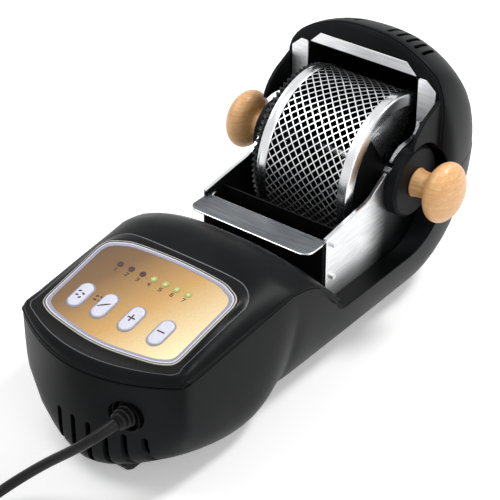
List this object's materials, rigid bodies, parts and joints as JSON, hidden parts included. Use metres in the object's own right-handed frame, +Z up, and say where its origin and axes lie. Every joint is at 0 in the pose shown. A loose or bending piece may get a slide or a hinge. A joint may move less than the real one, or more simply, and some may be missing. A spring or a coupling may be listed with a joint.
{
  "type": "home coffee bean roaster",
  "caption": "Tabletop coffee bean roaster: a perforated steel drum turns over heating rods, with a sloped control deck in front and a hinged hood behind.",
  "frame": {"origin": "on the table, under the middle of the machine's box without its cord", "axes": "+X to the machine's right, +Y from the control deck to the hood, +Z up"},
  "size_m": [0.2233, 0.569, 0.2051],
  "materials": {
    "housing": "satin black moulding",
    "panel_gold": "printed gold film",
    "panel_silver": "pale silver film",
    "led_glass": "diffuse lenses",
    "button_white": "satin",
    "steel_sheet": "brushed",
    "steel_polished": "polished",
    "heater_sheath": "oxidised sheath",
    "gear_brass": "machined",
    "motor_can": "plated",
    "board_green": "solder mask",
    "fan_nylon": "moulded",
    "wood_knob": "oiled, fine grain",
    "rubber_foot": "matte",
    "cord_rubber": "satin sheath",
    "tie_nylon": "moulded"
  },
  "bodies": {
    "base": {"base_housing": "housing", "deck_cover": "housing", "bottom_cover": "housing", "cradle_left": "housing", "cradle_right": "housing", "handle_disc_left": "housing", "handle_disc_right": "housing", "panel_overlay": "panel_gold", "panel_bezel": "panel_silver", "led_strip": "led_glass", "side_plate_left": "steel_sheet", "side_plate_right": "steel_sheet", "front_shelf": "steel_sheet", "reflector": "steel_sheet", "rear_guard": "steel_sheet", "motor_bracket": "steel_sheet", "hinge_pin": "steel_polished", "shelf_bolt_1": "steel_polished", "shelf_bolt_2": "steel_polished", "shelf_bolt_3": "steel_polished", "shelf_bolt_4": "steel_polished", "heater_rod_1": "heater_sheath", "heater_rod_2": "heater_sheath", "gear_motor": "motor_can", "control_board": "board_green", "power_board": "board_green", "fan_frame": "fan_nylon", "knob_left": "wood_knob", "knob_right": "wood_knob", "foot_front_left": "rubber_foot", "foot_front_right": "rubber_foot", "foot_rear_left": "rubber_foot", "foot_rear_right": "rubber_foot", "strain_relief": "cord_rubber", "power_cord": "cord_rubber", "cord_coil": "cord_rubber", "mains_plug": "cord_rubber", "coil_tie": "tie_nylon"},
    "hood": {"hood": "housing", "hood_liner": "steel_sheet"},
    "drum": {"drum_mesh": "steel_polished", "ring_left": "steel_polished", "ring_right": "steel_polished", "end_plate_left": "steel_sheet", "end_plate_right": "steel_sheet", "mixing_vane_1": "steel_sheet", "mixing_vane_2": "steel_sheet", "mixing_vane_3": "steel_sheet", "drum_shaft": "steel_polished", "drum_gear": "gear_brass"},
    "shutter": {"drum_shutter": "steel_sheet"},
    "pinion": {"pinion_gear": "gear_brass", "motor_shaft": "steel_polished"},
    "fan": {"fan_rotor": "fan_nylon"},
    "button_light_roast_body": {"button_light_roast": "button_white"},
    "button_dark_roast_body": {"button_dark_roast": "button_white"},
    "button_plus_body": {"button_plus": "button_white"},
    "button_minus_body": {"button_minus": "button_white"}
  },
  "joints": [
    {"name": "hood_hinge", "type": "hinge", "parent": "base", "child": "hood", "pos_m": [0, 0.193, 0.1065], "axis": [-1, 0, 0], "range_deg": [0, 80]},
    {"name": "drum_spin", "type": "hinge", "parent": "base", "child": "drum", "pos_m": [0, 0.089, 0.11], "axis": [1, 0, 0], "continuous": true},
    {"name": "pinion_spin", "type": "hinge", "parent": "base", "child": "pinion", "pos_m": [0, 0.128, 0.04245], "axis": [1, 0, 0], "continuous": true},
    {"name": "shutter_swing", "type": "hinge", "parent": "drum", "child": "shutter", "pos_m": [0, 0.089, 0.11], "axis": [1, 0, 0], "range_deg": [0, 60]},
    {"name": "fan_spin", "type": "hinge", "parent": "base", "child": "fan", "pos_m": [0.008, -0.135, 0.052], "axis": [0, 1, 0], "continuous": true},
    {"name": "button_light_roast_press", "type": "slide", "parent": "base", "child": "button_light_roast_body", "axis": [0, 0.1198, -0.9928], "range_m": [0, 0.0008], "stiffness_N_per_m": 600, "springref_m": -0.0004},
    {"name": "button_dark_roast_press", "type": "slide", "parent": "base", "child": "button_dark_roast_body", "axis": [0, 0.1198, -0.9928], "range_m": [0, 0.0008], "stiffness_N_per_m": 600, "springref_m": -0.0004},
    {"name": "button_plus_press", "type": "slide", "parent": "base", "child": "button_plus_body", "axis": [0, 0.1198, -0.9928], "range_m": [0, 0.0008], "stiffness_N_per_m": 600, "springref_m": -0.0004},
    {"name": "button_minus_press", "type": "slide", "parent": "base", "child": "button_minus_body", "axis": [0, 0.1198, -0.9928], "range_m": [0, 0.0008], "stiffness_N_per_m": 600, "springref_m": -0.0004}
  ],
  "couplings": [
    {"joint": "pinion_spin", "follows": "drum_spin", "ratio": -2.7143}
  ]
}
